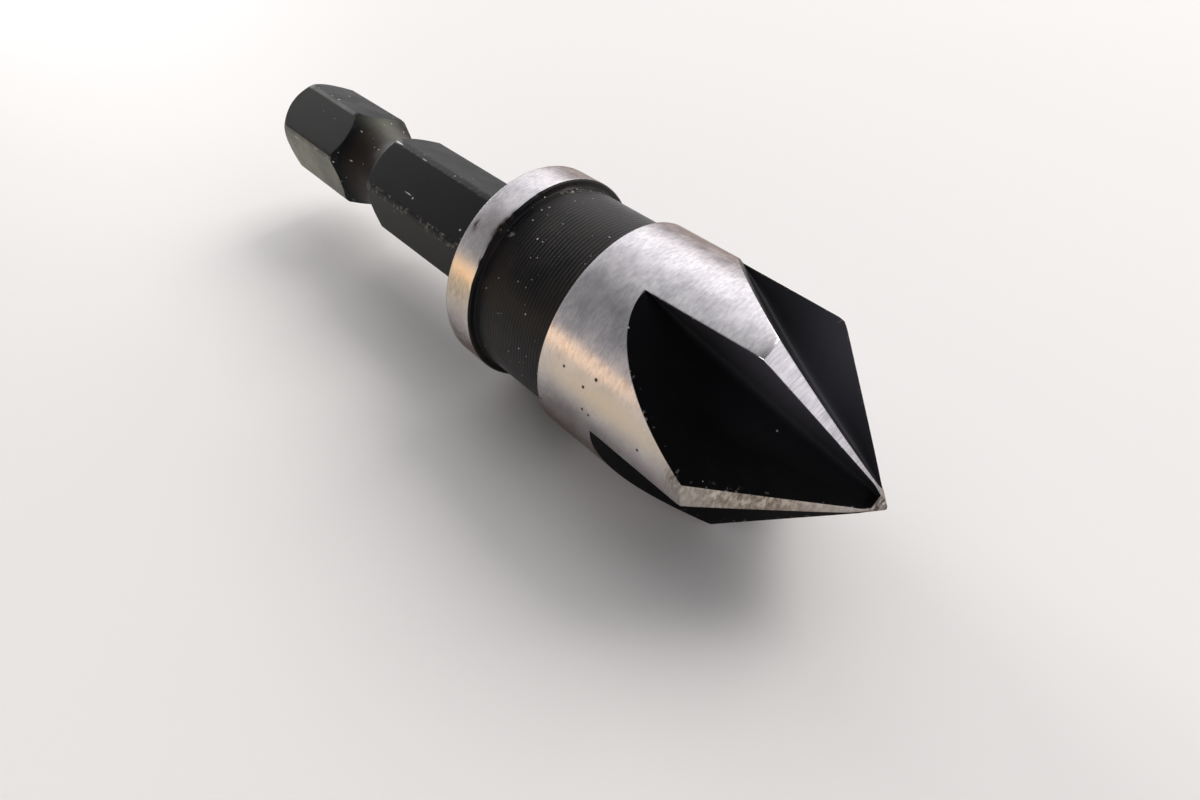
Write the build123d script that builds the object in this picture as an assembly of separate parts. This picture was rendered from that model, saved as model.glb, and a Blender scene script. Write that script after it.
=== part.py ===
from build123d import *
import os
from math import acos, asin, atan, cos, degrees, hypot, radians, sin, tan

# Countersink bit: one turned, milled and ground piece of tool steel, lying on its side.
# Lengths are in millimetres and angles in degrees. The axis runs along X, with the point
# toward +X, and angles about the axis are counted from +Y toward +Z.
# The bit cuts clockwise, as seen from the shank.

# Hexagonal quick-change shank
shank_across_flats = 6.35
shank_across_corners = 7.1
shank_length = 25.45
shank_clock = 35.3
end_chamfer_length = 0.75
end_chamfer_angle = 30.0

# Detent groove turned round the shank, placed from the shank's rear end
groove_station = 9.95
groove_floor_diameter = 4.9
groove_radius = 3.3

# Collar, turned neck and ground head
collar_diameter = 12.7
collar_width = 2.15
neck_recess = 0.45
neck_length = 5.65
neck_fillet = 0.25
head_diameter = 12.7
head_length = 9.85
edge_break = 0.1

# Cone point
point_angle = 88.0
tip_radius = 0.15
solid_tip_length = 0.8

# Flutes: square notches that run out to the rear, each with its rake face along the axis and its
# root on a wide arc. The core that they leave is given where the cone begins and where they end.
flute_count = 5
flute_clock = 109.6
core_diameter = 6.24
tip_core_diameter = 1.08
flute_arc_radius = 120.0
flute_skew = 1.7
flute_root_radius = 0.25
rake_setback = 0.1

# Relief ground behind the cutting edges of the cone
relief_angle = 8.0
relief_margin = 0.3
relief_run_in = 3.0
relief_overlap = 1.0

# Radii, stations along the axis and clearances that follow from the sizes above
head_radius = head_diameter / 2
collar_radius = collar_diameter / 2
neck_radius = min(collar_radius, head_radius) - neck_recess
corner_radius = shank_across_corners / 2
half_angle = radians(point_angle / 2)
collar_front = shank_length + collar_width
head_rear = collar_front + neck_length
point_base = head_rear + head_length
apex = point_base + head_radius / tan(half_angle)
tip_centre = apex - tip_radius / sin(half_angle)
overall_length = tip_centre + tip_radius
flute_end = apex - solid_tip_length
cone_flute_length = flute_end - point_base
core_fall = (core_diameter - tip_core_diameter) / 2
tooth_pitch = 360 / flute_count
axis_height = max(head_radius, collar_radius)
cutter_reach = 2 * head_diameter


def turned_body():
    """Collar, neck, head and cone point: one closed profile revolved about the axis."""
    fillet_top = neck_radius + neck_fillet
    neck_start = collar_front + neck_fillet
    neck_end = head_rear - neck_fillet
    cone_end = (tip_centre + tip_radius * sin(half_angle), tip_radius * cos(half_angle))
    collar = Polyline(
        (shank_length, 0),
        (shank_length, collar_radius - edge_break),
        (shank_length + edge_break, collar_radius),
        (collar_front - edge_break, collar_radius),
        (collar_front, collar_radius - edge_break),
        (collar_front, fillet_top),
    )
    front_fillet = CenterArc((neck_start, fillet_top), neck_fillet, 180, 90)
    neck = Line((neck_start, neck_radius), (neck_end, neck_radius))
    rear_fillet = CenterArc((neck_end, fillet_top), neck_fillet, 270, 90)
    head = Polyline(
        (head_rear, fillet_top),
        (head_rear, head_radius - edge_break),
        (head_rear + edge_break, head_radius),
        (point_base, head_radius),
        cone_end,
    )
    tip = CenterArc((tip_centre, 0), tip_radius, 0, 90 - degrees(half_angle))
    centre_line = Line((overall_length, 0), (shank_length, 0))
    profile = make_face([*collar.edges(), front_fillet, neck, rear_fillet, *head.edges(), tip, centre_line])
    return revolve(profile, Axis.X)


def shank():
    """Hexagon bar kept inside a turned outline, which rounds its corners and cuts its chamfer and groove."""
    bar_end = shank_length + collar_width / 2
    end_radius = corner_radius - end_chamfer_length * tan(radians(end_chamfer_angle))
    groove_centre = groove_floor_diameter / 2 + groove_radius
    groove_angle = acos((groove_centre - corner_radius) / groove_radius)
    groove_rear = groove_station - groove_radius * sin(groove_angle)
    groove_front = groove_station + groove_radius * sin(groove_angle)
    groove_turn = 2 * degrees(groove_angle)
    rear = Polyline((0, 0), (0, end_radius), (end_chamfer_length, corner_radius), (groove_rear, corner_radius))
    groove = CenterArc((groove_station, groove_centre), groove_radius, 270 - groove_turn / 2, groove_turn)
    front = Polyline((groove_front, corner_radius), (bar_end, corner_radius), (bar_end, 0), (0, 0))
    turned_outline = revolve(make_face([*rear.edges(), groove, *front.edges()]), Axis.X)
    hexagon = Plane.YZ * RegularPolygon(shank_across_flats / 2, 6, major_radius=False)
    return turned_outline & Rot(X=shank_clock) * extrude(hexagon, bar_end)


def flute_cutter():
    """Square notch with a rounded root for the tooth at angle 0, which stops short of the tip.

    Before it is placed, its root is an arc about Z at the origin, Y runs out from the back
    face and Z out from the rake face.
    """
    section = Rectangle(cutter_reach, cutter_reach, align=(Align.MIN, Align.MIN))
    root_corner = section.vertices().sort_by_distance((0, 0))[0]
    root_section = Plane.YZ * Pos(-flute_arc_radius, 0) * fillet(root_corner, flute_root_radius)
    arc_angle = degrees(2 * cutter_reach / flute_arc_radius)
    notch = Pos(0, flute_arc_radius) * Rot(Z=-arc_angle / 2) * revolve(root_section, Axis.Z, arc_angle)
    chord = hypot(cone_flute_length, core_fall)
    slope = degrees(atan(core_fall / cone_flute_length) + asin(chord / 2 / flute_arc_radius))
    root_start = Pos(point_base, core_diameter / 2, -rake_setback)
    placed_notch = root_start * Rot(Z=-slope) * Rot(Y=flute_skew) * notch
    solid_tip = Pos(flute_end, 0) * Box(
        cutter_reach,
        cutter_reach,
        cutter_reach,
        align=(Align.MIN, Align.CENTER, Align.CENTER),
    )
    return placed_notch - solid_tip


def relief_cutter():
    """What lies outside a cone that leans away from the cutting edge, for the tooth at angle 0.

    The leaning cone keeps the point's angle along the cutting edge, so the land falls from
    there to its heel. Its apex stands a little forward, which leaves a narrow margin.
    """
    fall = tan(radians(relief_angle))
    lean = atan(tan(half_angle) * fall)
    cone_angle = acos(cos(lean) * cos(half_angle))
    lead = relief_margin * fall / tan(half_angle)
    cone = Cone(
        0,
        cutter_reach * tan(cone_angle),
        cutter_reach,
        align=(Align.CENTER, Align.CENTER, Align.MIN),
    )
    leaning_cone = Plane(origin=(apex + lead, 0, 0), z_dir=(-cos(lean), 0, sin(lean))) * cone
    relief_rear = point_base - relief_run_in
    section = Pos(relief_rear, 0) * Rectangle(flute_end - relief_rear, head_diameter, align=Align.MIN)
    sector = revolve(section, Axis.X, tooth_pitch / 2 + relief_overlap)
    return Rot(X=-tooth_pitch / 2) * sector - leaning_cone


def countersink_bit():
    """Shank and turned body as one blank, then the relief and the flutes of each tooth."""
    bit = turned_body() + shank()
    tooth_cutters = [relief_cutter(), flute_cutter()]
    for tooth in range(flute_count):
        angle = flute_clock + tooth * tooth_pitch
        for cutter in tooth_cutters:
            bit -= Rot(X=angle) * cutter
    return Pos(-overall_length / 2, 0, axis_height) * bit


os.makedirs("parts", exist_ok=True)
bit = countersink_bit()
bit.label = "countersink_bit"
export_step(bit, "parts/countersink_bit.step")
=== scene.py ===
"""Countersink bit, lying on its side: ground and blackened tool steel, on a pale floor.

The whole bit is one closed surface, worked out as rings of points carried along its axis.
"""

import math

import bpy
import numpy as np
from mathutils import Matrix, Vector


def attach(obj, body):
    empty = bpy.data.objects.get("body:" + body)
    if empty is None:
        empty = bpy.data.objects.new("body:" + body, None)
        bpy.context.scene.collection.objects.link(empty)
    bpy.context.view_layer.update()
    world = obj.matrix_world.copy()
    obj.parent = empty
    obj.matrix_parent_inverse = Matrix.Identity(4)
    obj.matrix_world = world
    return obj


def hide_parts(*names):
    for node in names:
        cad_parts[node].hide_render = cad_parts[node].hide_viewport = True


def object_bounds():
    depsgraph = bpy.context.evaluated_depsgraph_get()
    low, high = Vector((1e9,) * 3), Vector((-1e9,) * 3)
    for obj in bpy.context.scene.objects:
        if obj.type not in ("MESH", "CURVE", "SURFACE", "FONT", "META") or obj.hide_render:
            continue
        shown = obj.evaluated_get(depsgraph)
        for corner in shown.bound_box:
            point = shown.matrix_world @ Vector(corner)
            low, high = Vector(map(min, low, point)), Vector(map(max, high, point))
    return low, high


bl_info = {
    "name": "Countersink Bit",
    "version": (1, 0, 0),
    "blender": (4, 5, 0),
    "location": "View3D > Sidebar > Countersink",
    "description": "Builds a one-piece countersink bit in ground and blackened steel",
    "category": "Add Mesh",
}

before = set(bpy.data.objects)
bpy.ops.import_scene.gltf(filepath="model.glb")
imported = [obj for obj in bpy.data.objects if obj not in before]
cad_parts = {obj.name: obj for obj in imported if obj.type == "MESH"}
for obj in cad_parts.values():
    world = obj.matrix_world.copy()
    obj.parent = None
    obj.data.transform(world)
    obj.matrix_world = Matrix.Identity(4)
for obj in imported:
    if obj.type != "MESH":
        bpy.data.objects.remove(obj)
CAD_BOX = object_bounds()
AXIS_HEIGHT = (CAD_BOX[0].z + CAD_BOX[1].z) / 2
MIDDLE = (CAD_BOX[0].x + CAD_BOX[1].x) / 2

MM = 0.001
TURN = 2 * math.pi
# A length too small to see, which keeps divisions and comparisons safe.
HAIR = 0.001 * MM

# How many points go round: a number that both six flats and five teeth divide.
RING_POINTS = 270
TEETH = 5
TOOTH_POINTS = RING_POINTS // TEETH
TOOTH_PITCH = TURN / TEETH

# How the points of one tooth are shared out: rake face, root, back face, and the land.
RAKE_POINTS = 12
ROOT_POINTS = 6
BACK_POINTS = 14
NOTCH_POINTS = RAKE_POINTS + ROOT_POINTS + BACK_POINTS
LAND_POINTS = TOOTH_POINTS - NOTCH_POINTS
# Where the points beside a ground corner stand, in widths of that corner.
LIP_STEPS = np.array([0, 1, 2.5])
# Least angle that a heel keeps from either cutting edge.
NARROW = math.radians(1.2)
# How far root and edge may stand off the tooth's middle line, as shares of the land's radius.
ROOT_LIMIT, EDGE_LIMIT = 0.3, 0.6
# How far the roots rise where the flutes run out into the tip.
RUN_OUT_RISE = 0.15 * MM
# About how far the flutes reach behind the cone's base, and the stations between which their
# rear outlines end, where more rings stand.
FLUTE_REAR = 6.25 * MM
REAR_ENDS = (-7.1 * MM, -5.6 * MM)
# Rings beside the cone's base, and near the tip, in millimetres ahead of the flutes' end.
BASE_STEPS = np.array([0.02, 0.05, 0.1, 0.18, 0.28, 0.4])
TIP_STEPS = np.array([0.03, 0.07, 0.11, 0.15, 0.19, 0.23, 0.25, 0.27, 0.33, 0.42, 0.5])

# The shank's sides, and the angle from the middle of a flat to the corner beside it.
HEX_SIDES = 6
HALF_SIDE = math.pi / HEX_SIDES
# Least half angle of a flat, kept where the turned outline lies inside the flats, and the
# width over which a flat's edges are softened.
LEAST_FLAT = math.radians(2)
FLAT_SOFTNESS = 0.018 * MM
# Rings on the shank's end face, on its chamfer, behind the groove, in it and ahead of it, and
# the width of the end face's rounded edge.
FACE_RINGS = 4
CHAMFER_RINGS = 9
REAR_RINGS = 12
GROOVE_RINGS = 61
FRONT_RINGS = 21
END_LIP = 0.05 * MM
# How far the edges of the collar and head are rounded, and how far below their diameters a
# point still counts as ground.
EDGE_ROUND = 0.04 * MM
GROUND_DEPTH = 0.005 * MM

FINISHES = ("ground", "turned", "milled", "drawn")
# Edges that turn by more than this are shaded sharp.
SHARP = math.radians(50)

# How far each flute strays from the even one, as flutes ground one at a time do, from the
# first cutting edge on: core height and setback in millimetres, slope and skew in degrees,
# and the root line's arc as a multiple of the even radius.
CORE_SCATTER = np.array([-0.06, 0.01, 0, 0, 0.0])[:, None]
SLOPE_SCATTER = np.array([0.85, 0.6, 0, 0, 0.0])[:, None]
ARC_SCATTER = np.array([4.0, 0.62, 1, 1, 0.73])[:, None]
SETBACK_SCATTER = np.array([0.03, -0.24, 0, 0, 0.02])[:, None]
SKEW_SCATTER = np.array([0, -4.2, 0, 0, 0.3])[:, None]
# How far the oxide is rubbed off the shank's flats, behind and ahead of its groove, from the
# first flat on, and how strong the painted glow down each rake face is.
REAR_RUB = np.array([0.0, 0.06, 0.95, 0.5, 0.3, 0.2])
FRONT_RUB = np.array([0.03, 0.0, 0.1, 0.1, 0.05, 0.1])
RAKE_PAINTED_GLOW = np.array([0.45, 0.6, 0.5, 0.7, 0.7])
# How much steel shows along the shank's corners, behind and ahead of its groove, from the
# corner before the first flat on.
REAR_CORNERS = np.array([0.4, 0.12, 0.2, 0.5, 0.6, 0.3])
FRONT_CORNERS = np.array([0.3, 0.2, 0.9, 0.6, 0.4, 0.7])
# Paler upper side of the shank's groove: angle in degrees, reach in radians, strength.
GROOVE_PALE_SIDE = (66, 0.45, 0.42)
# How deep the outer corner of each cutting edge is worn away, in millimetres.
CORNER_WEAR = np.array([0.01, 0.02, 0.01, 0.02, 0.05])[:, None]
# How much steel shows at a flute's edge and at the two points on each side of it.
EDGE_WEAR = (0.3, 0.6, 1, 0.6, 0.3)

# Nicks in the collar's front edge: angle and half width in degrees, depth in millimetres.
COLLAR_NICKS = (
    (97, 1.2, 0.05),
    (113, 1.5, 0.07),
    (118, 1.0, 0.09),
    (122, 1.6, 0.13),
    (127, 1.2, 0.1),
    (131, 2.2, 0.07),
    (140, 1.8, 0.1),
    (152, 3.0, 0.05),
    (236, 2.0, 0.08),
    (301, 2.5, 0.06),
)
# Burrs left in the corner between the collar and the neck: angle in degrees, reach in radians.
BURRS = ((76, 0.09), (121, 0.02), (84, 0.02))

# Stains. Those on the underside, from 160 to 178 degrees, are painted shade and warm reflection of
# the
# shadowed floor. Columns: millimetres ahead of the cone's base, angle in degrees, reach along and
# round in millimetres, and strength.
STAINS_AND_PAINTED_SHADE = (
    (-17.15, 127.5, 0.14, 0.3, 1.6),
    (-16.5, 124.0, 0.8, 1.0, 0.5),
    (-16.6, 160.0, 1.5, 1.3, 0.4),
    (-8.2, 176.0, 2.6, 0.9, 0.42),
    (-4.0, 178.0, 2.6, 0.9, 0.42),
    (-15.6, 121.0, 0.3, 0.9, 1.2),
    (-15.5, 129.0, 0.2, 1.2, 0.4),
    (-8.6, 121.0, 1.2, 1.3, 0.2),
    (-0.6, 168.0, 0.6, 0.7, 0.6),
    (2.2, 172.0, 2.6, 1.6, 0.9),
    (6.4, 140.0, 0.5, 2.0, 1.1),
    (3.5, 30.0, 2.0, 1.2, 0.3),
    (2.6, 245.0, 2.2, 1.4, 0.5),
    (-15.9, 250.0, 0.9, 2.5, 0.4),
    (-4.0, 262.0, 1.6, 2.0, 0.25),
    (-7.5, 330.0, 1.4, 2.2, 0.3),
)
# Painted warm reflection: a tan tint low on the near side of the ground steel, standing in for a
# warm surface that the steel mirrors, given as the stains are.
PAINTED_WARM_REFLECTION = (
    (-16.6, 156.0, 2.5, 1.5, 0.95),
    (-5.5, 161.0, 5.5, 0.95, 0.95),
    (2.5, 176.0, 3.0, 1.5, 0.6),
)
# Pits in the ground steel: millimetres ahead of the cone's base, degrees, and radius.
PITS = (
    (-8.11, 157.4, 0.05),
    (-6.67, 160.1, 0.055),
    (-6.09, 153.3, 0.06),
    (-6.45, 170.8, 0.05),
    (-6.02, 171.5, 0.045),
    (-2.82, 169.6, 0.05),
    (-9.56, 185.5, 0.045),
)


# ---------------------------------------------------------------- sizes and colours


def length(value, text):
    """A length property given in millimetres."""
    return bpy.props.FloatProperty(
        name=text,
        description=text,
        default=value * MM,
        precision=5,
        unit="LENGTH",
        subtype="DISTANCE",
    )


def angle(value, text):
    """An angle property given in degrees."""
    return bpy.props.FloatProperty(
        name=text, description=text, default=math.radians(value), subtype="ANGLE"
    )


def colour(value, text):
    """A colour property given as an sRGB hex value and kept linear."""
    return bpy.props.FloatVectorProperty(
        name=text,
        description=text,
        size=4,
        subtype="COLOR",
        min=0,
        max=1,
        default=linear(value),
    )


def linear(hex_value):
    """Linear RGBA of an sRGB hex value: c / 12.92 up to 0.04045, else ((c + 0.055) / 1.055)^2.4."""
    parts = np.array([int(hex_value[at : at + 2], 16) for at in (1, 3, 5)]) / 255
    low, high = parts / 12.92, ((parts + 0.055) / 1.055) ** 2.4
    return (*np.where(parts <= 0.04045, low, high).tolist(), 1.0)


class CountersinkSizes(bpy.types.PropertyGroup):
    """Sizes of the bit; stations are counted from the shank's end toward the point."""

    overall_length: length(49.6097, "Overall length")
    across_flats: length(6.35, "Across the shank's flats")
    across_corners: length(7.1, "Across the shank's corners")
    shank_length: length(25.45, "Shank length")
    shank_clock: angle(35.3, "Turn of the hexagon's corners")
    end_chamfer: length(0.75, "End chamfer length")
    end_chamfer_angle: angle(30, "End chamfer angle")
    groove_station: length(9.95, "Groove station")
    groove_floor: length(4.9, "Groove floor diameter")
    groove_radius: length(3.3, "Groove radius")
    collar_diameter: length(12.7, "Collar diameter")
    collar_width: length(2.15, "Collar width")
    neck_diameter: length(11.8, "Neck diameter")
    neck_length: length(5.65, "Neck length")
    neck_fillet: length(0.25, "Neck fillet radius")
    head_diameter: length(12.7, "Head diameter")
    head_length: length(9.85, "Length of the head's cylinder")
    edge_break: length(0.1, "Broken edges")
    point_angle: angle(88, "Point angle")
    tip_radius: length(0.15, "Tip radius")
    solid_tip: length(0.8, "Solid tip length")
    run_out: length(0.25, "Run-out of the flutes into the tip")
    flute_clock: angle(109.6, "Turn of the first cutting edge")
    core_diameter: length(6.24, "Core diameter at the cone's base")
    tip_core_diameter: length(1.08, "Core diameter at the flutes' end")
    flute_arc: length(120, "Radius of the flutes' root line")
    flute_skew: angle(1.7, "Skew of the rake faces")
    root_radius: length(0.5, "Flute root radius")
    rake_setback: length(0.1, "Setback of the rake faces")
    relief_angle: angle(8, "Relief angle")
    relief_margin: length(0.3, "Margin before the relief")
    corner_width: length(0.03, "Width of the ground corners")


class CountersinkFinish(bpy.types.PropertyGroup):
    """Colours of the finishes."""

    ground: colour("#cfcdd0", "Ground steel")
    ground_dull: colour("#adabaf", "Duller rings in the ground steel")
    # Tan-brown of the stains, also laid on the underside as painted shade.
    stain_and_painted_shade: colour("#5f5548", "Stains and painted shade on the ground steel")
    # Tan tint of the painted warm reflection low on the ground steel.
    painted_warm_reflection: colour("#cfc0a9", "Painted warm reflection on the ground steel")
    pit: colour("#2b2522", "Pits in the ground steel")
    milled_oxide: colour("#060609", "Black oxide in the flutes")
    milled_brown: colour("#110e0d", "Browner patches in the flutes")
    # Painted glow along the rake faces, a highlight of grazing light.
    milled_painted_glow: colour("#66656f", "Painted glow on the rake faces")
    turned_oxide: colour("#0d0e11", "Black oxide on the neck")
    turned_crest_painted_sheen: colour("#333236", "Painted sheen on the crests of the turning rings")
    turned_brown: colour("#2a241f", "Browner patches on the neck")
    drawn_oxide: colour("#14161a", "Black oxide on the shank")
    drawn_worn: colour("#8c8d80", "Rubbed oxide on the shank")
    drawn_brown: colour("#2c2521", "Browner oxide in the groove")
    bare: colour("#a9a69f", "Steel showing through the oxide")
    dust: colour("#d2d1cb", "Dust and specks")
    floor: colour("#f3f2f1", "Floor")


# ---------------------------------------------------------------- shape


def rounded(points, setbacks, steps=4):
    """Polyline with rounded corners, as arrays of station and radius.

    Each corner P becomes the curve (1-t)^2 A + 2t(1-t) P + t^2 B, where A and B lie on the
    corner's two sides, set back by the corner's given length.
    """
    corners = np.array(points, dtype=float)
    before, corner, after = corners[:-2], corners[1:-1], corners[2:]
    setback = np.asarray(setbacks, dtype=float)[:, None]
    to_before, to_after = before - corner, after - corner
    span_before = np.linalg.norm(to_before, axis=1)[:, None]
    span_after = np.linalg.norm(to_after, axis=1)[:, None]
    start = corner + to_before / span_before * np.minimum(setback, span_before * 0.45)
    end = corner + to_after / span_after * np.minimum(setback, span_after * 0.45)
    t = np.linspace(0, 1, steps + 1)[None, :, None]
    middle = 2 * t * (1 - t) * corner[:, None]
    curves = (1 - t) ** 2 * start[:, None] + middle + t**2 * end[:, None]
    return np.vstack([corners[:1], curves.reshape(-1, 2), corners[-1:]]).T


def soft_min(a, b, width):
    """Smaller of a and b with a rounded corner: (a + b - sqrt((a - b)^2 + width^2)) / 2."""
    return (a + b - np.sqrt((a - b) ** 2 + width**2)) / 2


def bell(distance, reach):
    """One at no distance and fading as exp(-(distance / reach)^2)."""
    return np.exp(-((distance / reach) ** 2))


def wrapped(turn):
    """An angle brought into the range from -pi to pi."""
    return (turn + math.pi) % TURN - math.pi


def round_places(station, radius, around):
    """Places x = station, y = r cos(angle), z = r sin(angle), for whole rings at once."""
    return free_places(station, radius * np.cos(around), radius * np.sin(around))


def free_places(x, y, z):
    """Places from stations, one to a ring, and from y and z, one to a point."""
    return np.stack(np.broadcast_arrays(x, y, z), axis=-1)


def stations(sizes):
    """Stations of the collar's front, of the head's rear and of the cone's base."""
    collar_front = sizes.shank_length + sizes.collar_width
    head_rear = collar_front + sizes.neck_length
    return collar_front, head_rear, head_rear + sizes.head_length


def shank_outline(sizes):
    """Station and radius of the shank's turned outline: end face, chamfer, bar, groove, bar.

    The groove is an arc: station = middle + R sin(a), radius = floor + R (1 - cos(a)).
    """
    corner = sizes.across_corners / 2
    rise = math.tan(sizes.end_chamfer_angle)
    end = corner - sizes.end_chamfer * rise
    centre = sizes.groove_floor / 2 + sizes.groove_radius
    reach = math.acos((centre - corner) / sizes.groove_radius)
    fan = np.linspace(-reach, reach, GROOVE_RINGS)
    groove_x = sizes.groove_station + sizes.groove_radius * np.sin(fan)
    groove_r = centre - sizes.groove_radius * np.cos(fan)
    face_x = np.array([0, 0, 0, 0.3]) * END_LIP
    face_r = np.array([0.5 * end, 0.85 * end, end - 0.8 * END_LIP, end - 0.1 * END_LIP])
    chamfer_x = np.linspace(END_LIP, sizes.end_chamfer, CHAMFER_RINGS)
    chamfer_r = end + chamfer_x * rise
    rear = np.linspace(sizes.end_chamfer, groove_x[0], REAR_RINGS + 2)[1:-1]
    front = np.linspace(groove_x[-1], sizes.shank_length, FRONT_RINGS + 1)[1:]
    station = np.concatenate([face_x, chamfer_x, rear, groove_x, front])
    bar_rear, bar_front = np.full(len(rear), corner), np.full(len(front), corner)
    radius = np.concatenate([face_r, chamfer_r, bar_rear, groove_r, bar_front])
    return station[:, None], radius[:, None]


def side_angles(half_flat):
    """Angles of a side's points from the middle of its flat, close together at its edges.

    They run from one corner to the next: (1 - (1 - u)^1.6) of half the flat for even steps u,
    and fixed shares of what is left beside the flat.
    """
    leaving = np.array([0, 0.35, 0.62, 0.82, 0.94])
    joining = np.array([0.06, 0.18, 0.38, 0.65])
    on_flat = RING_POINTS // HEX_SIDES - len(leaving) - len(joining)
    spread = np.linspace(-1, 1, on_flat)
    spread = np.sign(spread) * (1 - (1 - np.abs(spread)) ** 1.6)
    beside = HALF_SIDE - half_flat
    parts = [beside * leaving - HALF_SIDE, half_flat * spread, half_flat + beside * joining]
    return np.hstack(parts)


def shank_rings(sizes):
    """Rings of the shank: a hexagon inside a turned outline with an end chamfer and a groove.

    At the angle b from the middle of a flat, the radius is the softened smaller of
    flats / 2 / cos(b) and the turned radius. The points gather at the angle
    acos(flats / 2 / turned radius), where the flat meets the turned surface.
    """
    flat = sizes.across_flats / 2
    station, turned = shank_outline(sizes)
    half_flat = np.clip(np.arccos(np.clip(flat / turned, None, 1)), LEAST_FLAT, None)
    off_flat = side_angles(half_flat)
    radius = soft_min(flat / np.cos(off_flat), turned, FLAT_SOFTNESS)
    side = (np.arange(HEX_SIDES) * 2 + 1) * HALF_SIDE + sizes.shank_clock
    around = (side[None, :, None] + off_flat[:, None, :]).reshape(len(station), -1)
    places = round_places(station, np.tile(radius, (1, HEX_SIDES)), around)
    past = np.abs(off_flat) - half_flat
    wear = shank_wear(sizes, station, turned, off_flat, past)
    return places, {"wear": wear, "rubbed_and_painted_glow": shank_rub(sizes, station, turned, past, around)}


def shank_wear(sizes, station, turned, off_flat, past):
    """Steel that shows along the corners: full at a flat's edge and half on the round beyond."""
    on_bar = turned > sizes.across_flats / 2
    on_corner = on_bar & (past > -math.radians(1))
    near_edge = bell(past * turned, 0.05 * MM) * on_bar
    worn = np.maximum(near_edge, 0.5 * on_corner)
    worn[:FACE_RINGS] = 0
    shown = np.where(station < sizes.groove_station, REAR_CORNERS, FRONT_CORNERS)[..., None]
    shown = np.where(off_flat[:, None] < 0, shown, np.roll(shown, -1, axis=1))
    return (worn[:, None] * shown).reshape(len(station), -1)


def shank_rub(sizes, station, turned, past, around):
    """How far each flat's oxide is rubbed off, and how much paler the groove's upper side is."""
    rubbed_and_painted_glow = np.where(station < sizes.groove_station, REAR_RUB, FRONT_RUB)
    rubbed_and_painted_glow = np.repeat(rubbed_and_painted_glow, past.shape[1], axis=1)
    beyond_flat = (past > 0) | (turned < sizes.across_flats / 2 / math.cos(LEAST_FLAT))
    below_bar = turned < sizes.across_corners / 2 - HAIR
    in_groove = beyond_flat & below_bar & (station > 2 * sizes.end_chamfer)
    turn, reach, strength = GROOVE_PALE_SIDE
    paler = strength * bell(wrapped(around - math.radians(turn)), reach)
    return np.where(np.tile(in_groove, (1, HEX_SIDES)), paler, rubbed_and_painted_glow)


def collar_nicks(around):
    """Depth of the nicks round the collar's front edge, the sum of their bells."""
    at, reach, depth = (np.array(column)[:, None] for column in zip(*COLLAR_NICKS))
    away = wrapped(np.asarray(around)[None, :] - np.radians(at))
    return (depth * MM * bell(away, np.radians(reach))).sum(axis=0)


def turned_outline(sizes, front):
    """Station and radius of the collar, the neck and the head's plain start, up to front.

    Straight stretches over 0.5 mm long get 10 more rings, and those over 3 mm get 24.
    """
    collar_front, head_rear, _ = stations(sizes)
    rim, head = sizes.collar_diameter / 2, sizes.head_diameter / 2
    neck, lip = sizes.neck_diameter / 2, sizes.edge_break
    outline = [
        (sizes.shank_length, sizes.across_corners / 2 + 0.3 * MM),
        (sizes.shank_length, rim - lip),
        (sizes.shank_length + lip, rim),
        (collar_front - lip, rim),
        (collar_front, rim - lip),
        (collar_front, neck),
        (head_rear, neck),
        (head_rear, head - lip),
        (head_rear + lip, head),
        (front, head),
    ]
    edges, fillets = [EDGE_ROUND] * 2, [sizes.neck_fillet] * 2
    x, r = rounded(outline, edges + edges + fillets + edges)
    spans = np.flatnonzero(np.diff(x) > 0.5 * MM)
    count = np.where(np.diff(x)[spans] > 3 * MM, 24, 10)
    where = np.repeat(spans + 1, count)
    filled = []
    for values in (x, r):
        ends = zip(values[spans], values[spans + 1], count + 2)
        more = [np.linspace(*end)[1:-1] for end in ends]
        filled.append(np.insert(values, where, np.concatenate(more))[:-1, None])
    return filled


def turned_rings(sizes, around, lead_to):
    """Rings of the collar, the neck and the plain start of the head, as one turned outline.

    Along the head's plain start the points turn from even angles to those of the teeth, which
    lead_to gives with their station.
    """
    front, front_angles = lead_to
    collar_front, head_rear, _ = stations(sizes)
    rim, head = sizes.collar_diameter / 2, sizes.head_diameter / 2
    lip = sizes.edge_break
    x, r = turned_outline(sizes, front)

    plain = head_rear + lip * 3
    share = np.clip((x - plain) / (front - plain), 0, 1)
    angles = around + wrapped(front_angles - around) * share
    front_edge = bell(x - collar_front + lip * 0.5, 1.2 * lip) * (r > rim - 2 * lip)
    nick = collar_nicks(around) * front_edge
    places = round_places(x - nick, r - nick * 0.4, angles)

    on_rim = (r > rim - GROUND_DEPTH) & (x < head_rear - lip)
    on_head = (r > head - GROUND_DEPTH) & (x > head_rear - lip)
    finish = np.where(on_rim | on_head, FINISHES.index("ground"), FINISHES.index("turned"))
    worn = turned_wear(sizes, x, r, on_rim, angles)
    return places, worn, finish + np.zeros(worn.shape, dtype=int)


def turned_wear(sizes, x, r, on_rim, angles):
    """Steel that shows along the collar's edges, and the burrs in its corner with the neck.

    Each burr is a bell round the neck times a bell 0.3 mm ahead of the collar.
    """
    collar_front = stations(sizes)[0]
    middle = sizes.shank_length + sizes.collar_width / 2
    from_edge = np.abs(np.abs(x - middle) - sizes.collar_width / 2)
    lip = sizes.edge_break
    worn = 0.35 * bell(from_edge - lip * 0.5, lip) * on_rim * (x < collar_front - lip)
    burr = sum(bell(wrapped(angles - math.radians(turn)), reach) for turn, reach in BURRS)
    in_corner = bell(x - collar_front - 0.3 * MM, 0.2 * MM)
    burr = burr * in_corner * (r < sizes.neck_diameter / 2 + 0.2 * MM)
    return np.maximum(worn + 0 * angles, burr)


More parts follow.
